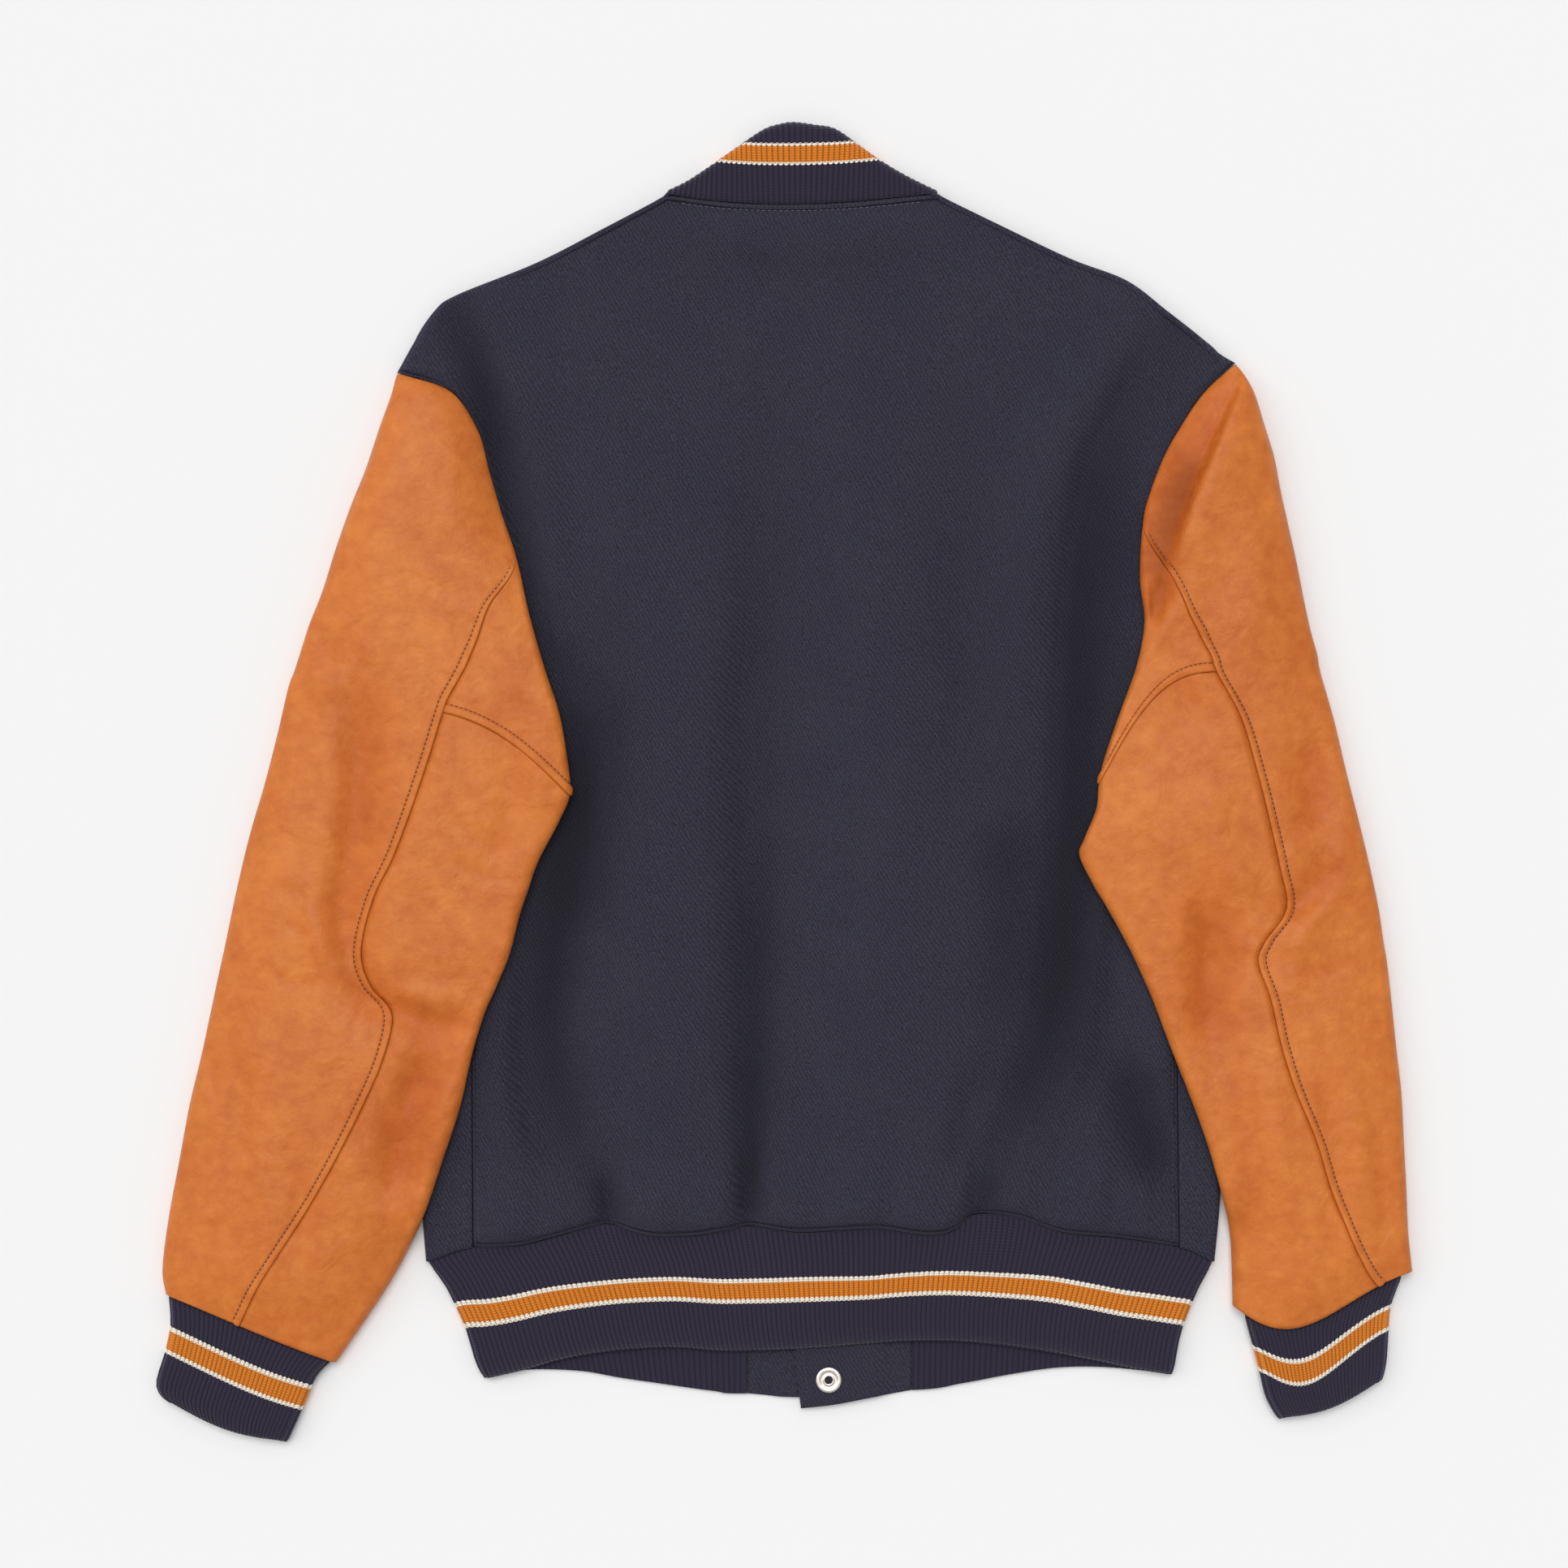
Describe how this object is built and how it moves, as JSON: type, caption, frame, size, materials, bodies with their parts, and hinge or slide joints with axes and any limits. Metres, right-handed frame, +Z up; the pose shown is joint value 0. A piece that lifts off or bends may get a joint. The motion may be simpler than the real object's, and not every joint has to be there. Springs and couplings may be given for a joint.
{
  "type": "varsity jacket",
  "caption": "Wool varsity jacket with leather sleeves and striped rib collar, cuffs and hem, snapped shut and laid flat with its back up.",
  "frame": {"origin": "on the surface that the jacket lies on, under the middle of its outline", "axes": "+X to the wearer's right side, +Y towards the collar, +Z up out of the back"},
  "size_m": [0.7445, 0.7827, 0.023],
  "materials": {
    "wool": "felted melton wool",
    "leather": "smooth semi-matt cowhide",
    "rib": "rib knit with knitted-in stripes",
    "metal": "plated snap"
  },
  "bodies": {
    "root": {"back_panel": "wool", "collar": "rib", "cuff_left": "rib", "cuff_right": "rib", "front_left": "wool", "front_right": "wool", "hem_band": "rib", "hem_tab_left": "wool", "hem_tab_right": "wool", "top_sleeve_left": "leather", "top_sleeve_right": "leather", "under_sleeve_lower_left": "leather", "under_sleeve_lower_right": "leather", "under_sleeve_upper_left": "leather", "under_sleeve_upper_right": "leather", "snap_cap_1": "metal", "snap_cap_2": "metal", "snap_cap_3": "metal", "snap_cap_4": "metal", "snap_cap_5": "metal", "snap_cap_6": "metal", "snap_cap_7": "metal", "snap_ring_1": "metal", "snap_ring_2": "metal", "snap_ring_3": "metal", "snap_ring_4": "metal", "snap_ring_5": "metal", "snap_ring_6": "metal", "snap_ring_7": "metal"}
  },
  "joints": []
}
